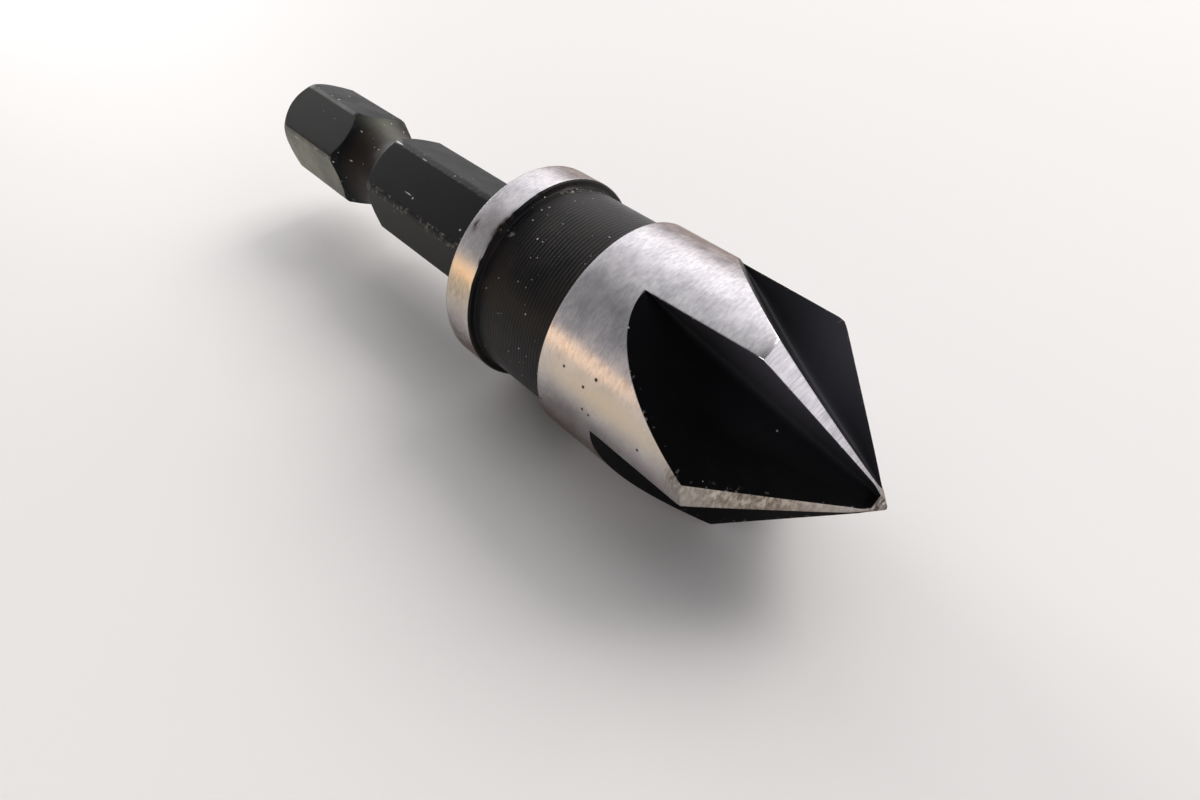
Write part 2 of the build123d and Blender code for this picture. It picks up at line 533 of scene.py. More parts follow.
def land_radius(sizes, x, behind):
    """Radius of each tooth's land at a station and an angle behind its cutting edge.

    It is the softened smaller of the cylinder and the cone (apex - x) tan(half angle), less
    tan(relief) for each unit of arc^2 / (arc + margin), and less a bell of wear at the corner.
    The tip is a ball that touches the cone.
    """
    half, cylinder = sizes.point_angle / 2, sizes.head_diameter / 2
    apex = cylinder / math.tan(half)
    ball = apex - sizes.tip_radius / math.sin(half)
    cone = (apex - x) * math.tan(half)
    arc = np.clip(behind * np.minimum(cone, cylinder), 0, None)
    past = arc**2 / (arc + sizes.relief_margin)
    fading = np.clip((apex - sizes.solid_tip - x) / (0.5 * MM), 0, 1)
    relieved = cone - past * math.tan(sizes.relief_angle) * fading
    land = soft_min(relieved, cylinder, sizes.corner_width * 0.6)
    worn = CORNER_WEAR * MM * bell(x, 0.2 * MM) * bell(behind * cylinder, 0.4 * MM)
    on_ball = np.sqrt(np.clip(sizes.tip_radius**2 - (x - ball) ** 2, 0, None))
    return np.where(x > ball + sizes.tip_radius * math.sin(half), on_ball, land - worn)


def next_tooth_land(sizes, x, behind):
    """Land radius under the points of each tooth, which is the land of the next cutting edge."""
    return np.roll(land_radius(sizes, x, np.roll(behind, 1, axis=1)), -1, axis=1)


def flute_end(sizes):
    """Station where the flutes end, the solid tip's length short of the cone's sharp apex."""
    return sizes.head_diameter / 2 / math.tan(sizes.point_angle / 2) - sizes.solid_tip


def flute_roots(sizes, x):
    """Height and setback of each flute's root, its core height, and the lean of its rake face.

    The height follows a wide arc: h = yc - sqrt(R^2 - (x - xc)^2). From the run-out's length
    before the flutes' end it also rises, with the cube of the way past that, so that the
    flutes run out into the tip.
    """
    end = flute_end(sizes)
    fall = (sizes.core_diameter - sizes.tip_core_diameter) / 2
    chord = math.hypot(end, fall)
    slope = math.atan(fall / end) + math.asin(chord / 2 / sizes.flute_arc)
    slope = slope + np.radians(SLOPE_SCATTER)
    core = sizes.core_diameter / 2 + CORE_SCATTER * MM
    arc = sizes.flute_arc * ARC_SCATTER
    height = core + arc * np.cos(slope) - np.sqrt(arc**2 - (x - arc * np.sin(slope)) ** 2)
    run = np.clip((x - end + sizes.run_out) / sizes.run_out / 2, 0, None)
    height = height + RUN_OUT_RISE * run**3
    skew = sizes.flute_skew + np.radians(SKEW_SCATTER)
    setback = -sizes.rake_setback - SETBACK_SCATTER * MM - np.tan(skew) * np.cos(slope) * x
    return height, setback, core, np.tan(skew) * np.sin(slope)


def cutting_edges(setback, core, lean, land):
    """Where each rake face z = setback + lean (y - core) meets the land's circle.

    Found by putting each answer back into the formula a few times.
    """
    edge_z, edge_y = setback, land
    for _ in range(4):
        edge_z = setback + lean * (edge_y - core)
        edge_z = np.clip(edge_z, -EDGE_LIMIT * land, EDGE_LIMIT * land)
        edge_y = np.sqrt(land**2 - edge_z**2)
    return edge_y, edge_z


def heel_angles(sizes, x, height, next_edge):
    """Angle and radius of each heel, and whether each flute is open there.

    The angle is acos(h / land radius), found by putting each answer back into the formula a
    few times. Past the run-out it stays as it was.
    """
    heel = np.ones(next_edge.shape)
    for _ in range(6):
        heel_r = np.maximum(next_tooth_land(sizes, x, next_edge - heel), 10 * HAIR)
        heel = np.arccos(np.clip(height / heel_r, -1, 1))
        heel = np.clip(heel, NARROW, next_edge - NARROW)
    cut = x < flute_end(sizes) + sizes.run_out
    heel = np.where(cut, heel, heel[np.flatnonzero(cut[:, 0, 0])[-1]])
    heel_r = next_tooth_land(sizes, x, next_edge - heel)
    return heel, heel_r, cut & (height < heel_r * math.cos(NARROW * 1.01))


def notch_points(sizes, edge_y, edge_z, root_y, root_z, heel_z):
    """Points of a notch: straight down the rake face, round the root, and along the back face.

    The root is the curve (1-t)^2 A + 2t(1-t) P + t^2 B, with A and B on the two faces.
    """
    rake = np.hypot(edge_y - root_y, edge_z - root_z)
    back = np.maximum(heel_z - root_z, HAIR)
    rake_y, rake_z = (root_y - edge_y) / rake, (root_z - edge_z) / rake
    shorter = np.minimum(rake, back)
    root = np.minimum(sizes.root_radius, shorter * 0.4)
    lip = np.minimum(sizes.corner_width, shorter * 0.08)
    steps = np.linspace(0, 1, RAKE_POINTS - 2)[1:]
    inside = LIP_STEPS[-1] * lip
    down = np.concatenate([lip * LIP_STEPS, inside + (rake - root - inside) * steps], axis=-1)
    t = np.linspace(0, 1, ROOT_POINTS + 2)[1:-1]
    steps = np.linspace(0, 1, BACK_POINTS - 2)
    out = np.concatenate([root + (back - root - inside) * steps, back - lip, back], axis=-1)
    round_y = root_y - rake_y * root * (1 - t) ** 2
    round_z = root_z + root * t**2 - rake_z * root * (1 - t) ** 2
    y = np.concatenate([edge_y + rake_y * down, round_y, root_y + 0 * out], axis=-1)
    z = np.concatenate([edge_z + rake_z * down, round_z, root_z + out], axis=-1)
    return y, z


def land_points(sizes, x, heel, heel_r, next_edge):
    """Points on a land, from each heel to the next cutting edge, close together at both."""
    span = next_edge - heel
    lip = np.minimum(sizes.corner_width / np.maximum(heel_r, 10 * HAIR), span * 0.1)
    inner = np.linspace(0, 1, LAND_POINTS - 2)[1:-1]
    inside = LIP_STEPS[-1] * lip
    steps = [lip * LIP_STEPS[1:], inside + (span - 2 * inside) * inner]
    steps.append(span - lip * LIP_STEPS[:0:-1])
    angle = heel + np.concatenate(steps, axis=-1)
    radius = next_tooth_land(sizes, x, next_edge - angle)
    return radius * np.cos(angle), radius * np.sin(angle)


def head_rings(sizes, station):
    """Rings of the fluted part of the head and of the cone, ahead of the cone's base.

    Seen along the axis, each tooth is a land, a rake face that runs in from the cutting edge,
    a rounded root, and a back face y = h(x) square to the rake face. Where h is above the
    land, the flute has run out and its points share the land's own circle.
    """
    x = np.asarray(station, dtype=float)[:, None, None]
    root_y, root_z, core, lean = flute_roots(sizes, x)
    land = land_radius(sizes, x, 0 * root_z)
    root_z = np.clip(root_z, -ROOT_LIMIT * land, ROOT_LIMIT * land)
    edge_y, edge_z = cutting_edges(root_z, core, lean, land)
    edge_angle = np.arctan2(edge_z, edge_y)
    next_edge = TOOTH_PITCH + np.roll(edge_angle, -1, axis=1)
    heel, heel_r, opened = heel_angles(sizes, x, root_y, next_edge)

    heel_z = heel_r * np.sin(heel)
    notch_y, notch_z = notch_points(sizes, edge_y, edge_z, root_y, root_z, heel_z)
    shut = np.linspace(0, 1, NOTCH_POINTS)
    shut_angle = edge_angle + (heel - edge_angle) * shut
    shut_r = land + (heel_r - land) * shut
    notch_y = np.where(opened, notch_y, shut_r * np.cos(shut_angle))
    notch_z = np.where(opened, notch_z, shut_r * np.sin(shut_angle))

    land_y, land_z = land_points(sizes, x, heel, heel_r, next_edge)
    y = np.concatenate([notch_y, land_y], axis=-1)
    z = np.concatenate([notch_z, land_z], axis=-1)
    within = np.minimum(1, land / np.maximum(np.hypot(y, z), HAIR))
    y, z = y * within, z * within

    turn = (sizes.flute_clock + np.arange(TEETH) * TOOTH_PITCH)[:, None]
    across = (y * np.cos(turn) - z * np.sin(turn)).reshape(len(x), -1)
    up = (y * np.sin(turn) + z * np.cos(turn)).reshape(len(x), -1)
    column = np.arange(RING_POINTS) % TOOTH_POINTS
    fluted = np.repeat(opened[..., 0], TOOTH_POINTS, axis=1)
    corner = fluted & ((column == 0) | (column == NOTCH_POINTS - 1))
    across, up = eased(across, corner), eased(up, corner)

    milled = fluted & (column < NOTCH_POINTS - 1)
    finish = np.where(milled, FINISHES.index("milled"), FINISHES.index("ground"))
    return free_places(x[:, 0], across, up), head_marks(x[:, 0], fluted, column), finish


def head_marks(x, fluted, column):
    """Wear along the flutes' edges, and a painted glow down each rake face, strongest near the
    base.
    """
    wear = np.zeros(TOOTH_POINTS)
    for edge in (0, NOTCH_POINTS - 1):
        wear[np.arange(edge - 2, edge + 3)] = EDGE_WEAR
    # The rake faces' glow is a painted highlight of grazing light, fading toward the root.
    inward = np.clip(1 - column / (RAKE_POINTS + ROOT_POINTS + 5), 0, 1)
    along = 0.3 + 0.7 * bell(x - 0.8 * MM, 2.6 * MM)
    rubbed_and_painted_glow = inward * along * np.repeat(RAKE_PAINTED_GLOW, TOOTH_POINTS)
    return {"wear": np.tile(wear, TEETH) * fluted, "rubbed_and_painted_glow": rubbed_and_painted_glow}


def eased(values, where):
    """Values drawn half way to the mean of their two neighbours round the ring."""
    beside = (np.roll(values, 1, axis=1) + np.roll(values, -1, axis=1)) / 2
    return np.where(where, (values + beside) / 2, values)


def head_stations(sizes):
    """Stations of the fluted rings, counted from the cone's base, and the tip's own station.

    On the cylinder they follow even steps of the heel's angle, so that each flute's curved
    rear outline is drawn with even points. They gather at the cone's base and at the tip.
    """
    cylinder, half = sizes.head_diameter / 2, sizes.point_angle / 2
    core = sizes.core_diameter / 2
    heel = np.radians(np.linspace(3, 60, 58))
    slope = (cylinder - core) / FLUTE_REAR
    run_out = (core - cylinder * np.cos(heel)) / slope
    body = [run_out[run_out < -0.5 * MM], np.linspace(*REAR_ENDS, 24)]
    beside = BASE_STEPS * MM
    corner = np.concatenate([-beside[::-1], [0], beside])
    end = flute_end(sizes)
    cone = np.linspace(0.5 * MM, end - 0.02 * MM, 56)
    tip = end + TIP_STEPS * MM
    # The ball's rings, from just inside the circle where it touches the cone to near the axis.
    ball = cylinder / math.tan(half) - sizes.tip_radius / math.sin(half)
    polar = np.linspace(math.pi / 2 - half - 0.03, 0.14, 7)
    round_tip = ball + sizes.tip_radius * np.cos(polar)
    rows = [np.sort(np.concatenate(body)), corner, cone, tip, round_tip]
    return np.concatenate(rows), ball + sizes.tip_radius


def bell_spots_at(places, spots):
    """How strong the given spots are at each place: the sum of bells round the spots' own places.
    """
    around = np.arctan2(places[..., 2], places[..., 1])
    radius = np.hypot(places[..., 2], places[..., 1])
    total = np.zeros(radius.shape)
    for ahead, turn, along, across, strength in spots:
        off_x = (places[..., 0] - ahead * MM) / (along * MM)
        off_round = wrapped(around - math.radians(turn)) * radius / (across * MM)
        total += strength * bell(np.hypot(off_x, off_round), 1)
    return total


def build_surface(sizes):
    """All the rings in order, the marks at their points, each gap's finish, and the two ends."""
    even = np.linspace(0, TURN, RING_POINTS, endpoint=False) + sizes.shank_clock
    base = stations(sizes)[2]
    rows, tip = head_stations(sizes)
    head, ahead, head_finish = head_rings(sizes, rows)
    first = np.arctan2(head[0, :, 2], head[0, :, 1])
    turn = -int(np.argmin(np.abs(wrapped(first - even[0]))))
    head, first = np.roll(head, turn, axis=1), np.roll(first, turn)
    ahead = {key: np.roll(values, turn, axis=1) for key, values in ahead.items()}
    head_finish = np.roll(head_finish, turn, axis=1)

    shank, behind = shank_rings(sizes)
    turned, worn, turned_finish = turned_rings(sizes, even, (base + rows[0], first))
    places = np.concatenate([shank, turned, head + np.array([base, 0, 0])])
    shank_finish = np.full(shank.shape[:2], FINISHES.index("drawn"))
    shank_finish[-1] = FINISHES.index("turned")
    finish = np.concatenate([shank_finish, turned_finish, head_finish])
    from_base = places - np.array([base, 0, 0])
    marks = {
        "wear": np.concatenate([behind["wear"], worn, ahead["wear"]]),
        "rubbed_and_painted_glow": np.concatenate([behind["rubbed_and_painted_glow"], 0 * worn, ahead["rubbed_and_painted_glow"]]),
        "stain_and_painted_shade": bell_spots_at(from_base, STAINS_AND_PAINTED_SHADE),
        "painted_warm_reflection": bell_spots_at(from_base, PAINTED_WARM_REFLECTION),
    }
    return places, marks, finish, np.array([[0, 0, 0], [base + tip, 0, 0]])


def ring_mesh(name, places, marks, finish, ends, materials):
    """Closed mesh of rings: a quad between neighbouring points, and a fan at each end."""
    rings, points = places.shape[:2]
    ring = np.arange(rings - 1)[:, None] * points
    around = np.arange(points)
    nearby = (around + 1) % points
    quads = [ring + around, ring + nearby, ring + points + nearby, ring + points + around]
    first, last = rings * points, rings * points + 1
    end_ring = (rings - 1) * points
    start_fan = np.stack([np.full(points, first), nearby, around], axis=-1)
    end_fan = np.stack([np.full(points, last), end_ring + around, end_ring + nearby], axis=-1)
    vertices = np.vstack([places.reshape(-1, 3), ends])
    faces = [np.stack(quads, axis=-1), start_fan, end_fan]
    loops = np.concatenate([face.ravel() for face in faces])
    sides = np.concatenate([np.full(end_ring, 4), np.full(2 * points, 3)])
    mesh = bpy.data.meshes.new(name)
    mesh.vertices.add(len(vertices))
    mesh.vertices.foreach_set("co", vertices.ravel())
    mesh.loops.add(len(loops))
    mesh.loops.foreach_set("vertex_index", loops)
    mesh.polygons.add(len(sides))
    mesh.polygons.foreach_set("loop_start", np.concatenate([[0], np.cumsum(sides)[:-1]]))
    for material in materials:
        mesh.materials.append(material)
    shades = [finish[:-1].ravel(), np.full(points, finish[0, 0]), np.full(points, finish[-1, 0])]
    mesh.polygons.foreach_set("material_index", np.concatenate(shades).astype(np.int32))
    mesh.update(calc_edges=True)
    mesh.validate()
    for key, values in marks.items():
        attribute = mesh.attributes.new(key, "FLOAT", "POINT")
        attribute.data.foreach_set("value", np.concatenate([values.ravel(), [0, 0]]))
    mesh.shade_smooth()
    mesh.set_sharp_from_angle(angle=SHARP)
    piece = bpy.data.objects.new(name, mesh)
    bpy.context.scene.collection.objects.link(piece)
    return piece


# ---------------------------------------------------------------- finishes


def add(tree, kind, settings=None, **inputs):
    """Adds a node, sets its settings, and links or sets its inputs, by name or as _0, _1.

    Only the inputs in use for the node's settings count, and a node given as a value stands
    for its first output in use.
    """
    made = tree.nodes.new("ShaderNode" + kind)
    for key, value in (settings or {}).items():
        setattr(made, key, value)
    sockets = [socket for socket in made.inputs if socket.enabled]
    for key, value in inputs.items():
        wanted = key.replace("_", " ")
        if key[1:].isdigit():
            socket = sockets[int(wanted)]
        else:
            socket = next(socket for socket in sockets if socket.name == wanted)
        if isinstance(value, bpy.types.Node):
            value = next(output for output in value.outputs if output.enabled)
        if isinstance(value, bpy.types.NodeSocket):
            tree.links.new(value, socket)
        else:
            socket.default_value = value
    return made


TIMES = {"operation": "MULTIPLY"}
PLUS = {"operation": "ADD"}
LESS = {"operation": "SUBTRACT"}
GREATER = {"operation": "MAXIMUM"}
MIX = {"data_type": "RGBA"}


def cleared(owner):
    """The node tree of a material or a world, with no nodes in it."""
    owner.use_nodes = True
    owner.node_tree.nodes.clear()
    return owner.node_tree


def new_material(name):
    """Material, its node tree, and places in millimetres from the axis and the cone's base."""
    material = bpy.data.materials.new(name)
    tree = cleared(material)
    here = add(tree, "TexCoord").outputs["Object"]
    base = cone_base(bpy.context.scene.countersink_sizes)
    shift = (-base / MM, 0, -AXIS_HEIGHT / MM)
    place = add(tree, "Mapping", _0=here, Location=shift, Scale=(1 / MM, 1 / MM, 1 / MM))
    return material, tree, place


def cone_base(sizes):
    """Where the cone's base stands along x, with the bit's middle at the frame's middle."""
    return MIDDLE - sizes.overall_length / 2 + stations(sizes)[2]


def specks(tree, place, spacing, size, share):
    """Ragged specks: one to a cell of the given spacing, kept for a share of the cells."""
    wobble = add(tree, "TexNoise", Vector=place, Scale=0.7 / size, Detail=1.0).outputs["Color"]
    shifted = {"operation": "MULTIPLY_ADD"}
    wobble = add(tree, "VectorMath", shifted, _0=wobble, _1=(size,) * 3, _2=place)
    cells = add(tree, "TexVoronoi", Vector=wobble, Scale=1 / spacing)
    chance = add(tree, "SeparateColor", Color=cells.outputs["Color"])
    kept = add(tree, "Math", {"operation": "LESS_THAN"}, _0=chance.outputs[0], _1=share)
    reach = add(tree, "Math", TIMES, _0=chance.outputs[1], _1=size / spacing)
    reach = add(tree, "Math", LESS, _0=reach, _1=cells.outputs["Distance"])
    dot = add(tree, "MapRange", Value=reach, From_Max=size / spacing * 0.4)
    return add(tree, "Math", TIMES, _0=dot, _1=kept)


def patches(tree, place, low, high, **noise):
    """Soft-edged patches: noise, from none where it is at low to full where it is at high."""
    cloud = add(tree, "TexNoise", Vector=place, **noise)
    return add(tree, "MapRange", Value=cloud, From_Min=low, From_Max=high)


def coated(material, base, coats, rough, bump, **more):
    """Ends a material with its shader: the base colour under its coats, each by its share."""
    tree, shade = material.node_tree, base
    for share, tint in coats:
        shade = add(tree, "Mix", MIX, Factor=share, A=shade, B=tint[:])
    inputs = {"Base_Color": shade, "Roughness": rough, "Normal": bump, **more}
    add(tree, "OutputMaterial", Surface=add(tree, "BsdfPrincipled", **inputs))
    return material


def ground_steel(colours):
    """Tool steel ground round the axis with a fine wheel, bare and bright.

    The eye gets soft streaks that run round, a cloudy tone, transverse grinding lines on
    the cone's lands, brown-grey stains, painted shade on the underside, a painted warm
    reflection low on the near side, a few dark pits, and clean bright corners.
    """
    material, tree, place = new_material("ground_tool_steel")
    # Streaks about 0.15 mm apart and 0.5 mm long, coarser than the wheel's real grit lines.
    long = add(tree, "VectorMath", TIMES, _0=place, _1=(7.0, 2.2, 2.2))
    grain = add(tree, "TexNoise", Vector=long, Scale=1.0, Detail=3.0, Roughness=0.6)
    cloud = add(tree, "TexNoise", Vector=place, Scale=0.9, Detail=4.0, Roughness=0.6)
    # Grinding lines across the lands, 0.1 mm apart, coarser than real so that they show.
    fine = add(tree, "VectorMath", TIMES, _0=place, _1=(11.0, 0.8, 0.8))
    lines = add(tree, "TexNoise", Vector=fine, Scale=1.0, Detail=2.0, Roughness=0.5)
    ahead = add(tree, "SeparateXYZ", Vector=place)
    on_cone = add(tree, "MapRange", Value=ahead, From_Min=-0.1, From_Max=0.2)
    streak = add(tree, "Mix", {"data_type": "FLOAT"}, Factor=on_cone, A=grain, B=lines)
    pits = specks(tree, place, spacing=1.6, size=0.1, share=0.4)
    out = bpy.context.scene.countersink_sizes.head_diameter / 2 / MM
    for forward, turn, radius in PITS:
        turn = math.radians(turn)
        spot = (forward, out * math.cos(turn), out * math.sin(turn))
        away = add(tree, "VectorMath", {"operation": "DISTANCE"}, _0=place, _1=spot)
        fading = {"From_Min": radius, "From_Max": radius * 2, "To_Min": 1, "To_Max": 0}
        dark = add(tree, "MapRange", Value=away, **fading)
        pits = add(tree, "Math", GREATER, _0=pits, _1=dark)
    ragged = add(tree, "MapRange", Value=grain, From_Min=0.3, From_Max=0.6)
    # Stains, with painted shade on the underside where the steel mirrors the shadowed floor.
    stained_and_painted_shade = add(tree, "Attribute", {"attribute_name": "stain_and_painted_shade"}).outputs["Fac"]
    stained_and_painted_shade = add(tree, "Math", {**TIMES, "use_clamp": True}, _0=stained_and_painted_shade, _1=ragged)
    tone = add(tree, "Math", PLUS, _0=streak, _1=cloud)
    tone = add(tree, "MapRange", Value=tone, From_Min=0.75, From_Max=1.2)
    # A painted warm reflection: tan laid low on the near side, where the steel mirrors a warm
    # surface.
    painted_warm_reflection = add(tree, "Attribute", {"attribute_name": "painted_warm_reflection"}).outputs["Fac"]
    shade = add(tree, "Mix", MIX, Factor=tone, A=colours.ground_dull[:], B=colours.ground[:])
    coats = ((painted_warm_reflection, colours.painted_warm_reflection), (stained_and_painted_shade, colours.stain_and_painted_shade), (pits, colours.pit))
    smooth = {"From_Min": 0.3, "From_Max": 0.7, "To_Min": 0.2, "To_Max": 0.3}
    rough = add(tree, "MapRange", Value=cloud, **smooth)
    dented = add(tree, "Math", LESS, _0=streak, _1=pits)
    bump = add(tree, "Bump", Strength=0.15, Distance=0.002 * MM, Height=dented)
    bare_metal = {"Metallic": 1.0, "Specular_Tint": linear("#b8a8a0")}
    return coated(material, shade, coats, rough, bump, **bare_metal)


def turned_oxide(colours):
    """Tool steel turned and then blackened with a hot oxide bath.

    Fine turning rings show through the satin black, their crests lighter with a painted sheen,
    browner in patches, with pale dust.
    """
    material, tree, place = new_material("blackened_turned_steel")
    # Turning rings 0.22 mm apart, a little coarser than the real feed so that they show. The
    # wave's phase grows by 20 times its scale in each millimetre.
    wave = {"wave_type": "BANDS", "bands_direction": "X"}
    scale = TURN / 0.22 / 20
    rings = add(tree, "TexWave", wave, Vector=place, Scale=scale, Distortion=1.6, Detail=2.0)
    # The rings' crests are painted lighter, a painted sheen where light catches them.
    crest_painted_sheen = add(tree, "MapRange", Value=rings, From_Min=0.5, From_Max=1.0, To_Max=0.22)
    patch = patches(tree, place, 0.38, 0.75, Scale=0.45, Detail=4.0, Roughness=0.6)
    # Dust lies in clusters about 3 mm wide.
    dust = specks(tree, place, spacing=0.36, size=0.06, share=0.7)
    cluster = patches(tree, place, 0.4, 0.46, Scale=0.35, Detail=1.0)
    dust = add(tree, "Math", TIMES, _0=dust, _1=cluster)
    flakes = patches(tree, place, 0.5, 0.6, Scale=5.0, Detail=2.0)
    worn = add(tree, "Attribute", {"attribute_name": "wear"}).outputs["Fac"]
    worn = add(tree, "Math", TIMES, _0=worn, _1=flakes)
    coats = (
        (patch, colours.turned_brown),
        (crest_painted_sheen, colours.turned_crest_painted_sheen),
        (worn, colours.bare),
        (dust, colours.dust),
    )
    rough = add(tree, "MapRange", Value=patch, To_Min=0.36, To_Max=0.48)
    bump = add(tree, "Bump", Strength=0.6, Distance=0.014 * MM, Height=rings)
    base = colours.turned_oxide[:]
    return coated(material, base, coats, rough, bump, Specular_IOR_Level=0.15)


def milled_oxide(colours):
    """Tool steel milled and then blackened: a deep, matt, even black.

    The eye gets hardly any shine, a brown cast here and there, a painted glow down the rake
    faces, and a few pale specks and chips where the edges have rubbed.
    """
    material, tree, place = new_material("blackened_milled_steel")
    patch = patches(tree, place, 0.45, 0.75, Scale=0.5, Detail=4.0, Roughness=0.6)
    # Chips 0.1 to 0.3 mm long along the cutting edges.
    ragged = patches(tree, place, 0.63, 0.69, Scale=4.0, Detail=2.0)
    worn = add(tree, "Attribute", {"attribute_name": "wear"}).outputs["Fac"]
    chips = add(tree, "Math", TIMES, _0=worn, _1=ragged)
    dust = specks(tree, place, spacing=1.2, size=0.09, share=0.55)
    # A painted glow down the rake faces: a pale highlight along the cutting edge, fading toward the
    # root.
    rubbed_and_painted_glow = add(tree, "Attribute", {"attribute_name": "rubbed_and_painted_glow"}).outputs["Fac"]
    coats = (
        (patch, colours.milled_brown),
        (rubbed_and_painted_glow, colours.milled_painted_glow),
        (chips, colours.bare),
        (dust, colours.dust),
    )
    fine = add(tree, "TexNoise", Vector=place, Scale=9.0, Detail=3.0, Roughness=0.6)
    bump = add(tree, "Bump", Strength=0.3, Distance=0.002 * MM, Height=fine)
    base = colours.milled_oxide[:]
    return coated(material, base, coats, 0.42, bump, Specular_IOR_Level=0.08)


def drawn_oxide(colours):
    """Drawn hexagon bar, blackened.

    The eye gets a slate sheen with fine lines along the bar, rubbed greenish grey in
    patches, brown in the groove, short bright scratches, and steel showing at the corners.
    """
    material, tree, place = new_material("blackened_drawn_steel")
    patch = patches(tree, place, 0.4, 0.7, Scale=0.4, Detail=4.0, Roughness=0.6)
    # Drawing lines 0.15 mm apart along the bar, coarser than real so that they show.
    long = add(tree, "VectorMath", TIMES, _0=place, _1=(0.4, 7.0, 7.0))
    drawn = add(tree, "TexNoise", Vector=long, Scale=1.0, Detail=3.0, Roughness=0.6)
    ragged = patches(tree, place, 0.5, 0.72, Scale=2.6, Detail=4.0, Roughness=0.7)
    worn = add(tree, "Attribute", {"attribute_name": "wear"}).outputs["Fac"]
    worn = add(tree, "Math", TIMES, _0=worn, _1=ragged)
    # Scratches about 0.5 mm long and 0.06 mm wide, leaning both ways across the bar.
    drawn_out = (0.25, 2.0, 2.0)
    leaning = add(tree, "Mapping", Vector=place, Rotation=(0.4, 0.3, 0.9), Scale=drawn_out)
    crossing = add(tree, "Mapping", Vector=place, Rotation=(0.2, 0.9, -0.7), Scale=drawn_out)
    scratch = specks(tree, leaning, spacing=0.85, size=0.13, share=0.6)
    other = specks(tree, crossing, spacing=1.0, size=0.13, share=0.5)
    scratch = add(tree, "Math", GREATER, _0=scratch, _1=other)
    dust = specks(tree, place, spacing=0.8, size=0.09, share=0.7)
    bright = add(tree, "Math", GREATER, _0=scratch, _1=dust)
    # The end that sits in the chuck is rubbed greyer on some flats than on others.
    rubbed_and_painted_glow = add(tree, "Attribute", {"attribute_name": "rubbed_and_painted_glow"}).outputs["Fac"]
    uneven = add(tree, "MapRange", Value=patch, To_Min=0.6, To_Max=1.3)
    rubbed_and_painted_glow = add(tree, "Math", {**TIMES, "use_clamp": True}, _0=rubbed_and_painted_glow, _1=uneven)
    # The groove is browner, below a radius of about 3 mm.
    out = add(tree, "VectorMath", TIMES, _0=place, _1=(0, 1, 1))
    out = add(tree, "VectorMath", {"operation": "LENGTH"}, _0=out)
    groove = add(tree, "MapRange", Value=out, From_Min=2.7, From_Max=3.1, To_Min=0.8, To_Max=0)
    coats = (
        (groove, colours.drawn_brown),
        (rubbed_and_painted_glow, colours.drawn_worn),
        (worn, colours.bare),
        (bright, colours.dust),
    )
    rough = add(tree, "MapRange", Value=patch, To_Min=0.44, To_Max=0.56)
    bump = add(tree, "Bump", Strength=0.3, Distance=0.003 * MM, Height=drawn)
    base = colours.drawn_oxide[:]
    return coated(material, base, coats, rough, bump, Specular_IOR_Level=0.12)


# ---------------------------------------------------------------- operators


class COUNTERSINK_OT_bit(bpy.types.Operator):
    """Build the bit's whole surface, with its finishes, in place of the plain solid"""

    bl_idname = "countersink.bit"
    bl_label = "Countersink Bit"

    def execute(self, context):
        sizes = context.scene.countersink_sizes
        colours = context.scene.countersink_finish
        finishes = (ground_steel, turned_oxide, milled_oxide, drawn_oxide)
        materials = [finish(colours) for finish in finishes]
        places, marks, shades, ends = build_surface(sizes)
        shift = np.array([MIDDLE - sizes.overall_length / 2, 0, AXIS_HEIGHT])
        piece = ring_mesh("bit_surface", places + shift, marks, shades, ends + shift, materials)
        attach(piece, "root")
        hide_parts("countersink_bit")
        return {"FINISHED"}


# Lamps: name, azimuth and elevation in degrees, distance, width and height in metres,
# radiance, and tint.
LAMPS = (
    ("window", 125, 30, 0.8, 0.6, 0.42, 0.45, "#ffffff"),
    ("side", 171, 15, 0.5, 0.18, 0.16, 10.0, "#fffdfb"),
    ("key", 82, 44, 0.8, 0.4, 0.4, 5.4, "#fffaf5"),
    ("fill", 27, 31, 0.8, 0.62, 0.4, 0.84, "#fffaff"),
    ("warm", -126, 6.5, 0.3, 0.14, 0.065, 1.25, "#ffc880"),
)

# Directions of the daylight side of the room, and of the dark card overhead that keeps the
# black flutes black.
DAYLIGHT = (-0.5, 0.866, 0)
DARK_CARD = (0.3, -0.45, 0.84)
# How far the floor reaches each way, in metres.
FLOOR_REACH = 1.2

# Camera: the render's width and the focal length in pixels, the camera's place in
# millimetres from the cone's base, its directions, and the sensor's width in millimetres.
RENDER_WIDTH = 1200
CAMERA_FOCUS = 688.5
CAMERA_FROM_BASE = (9.895, -20.819, 25.695)
CAMERA_FORWARD = (-0.484566, 0.466854, -0.739759)
CAMERA_UP = (-0.532734, 0.513261, 0.672872)
SENSOR = 36.0


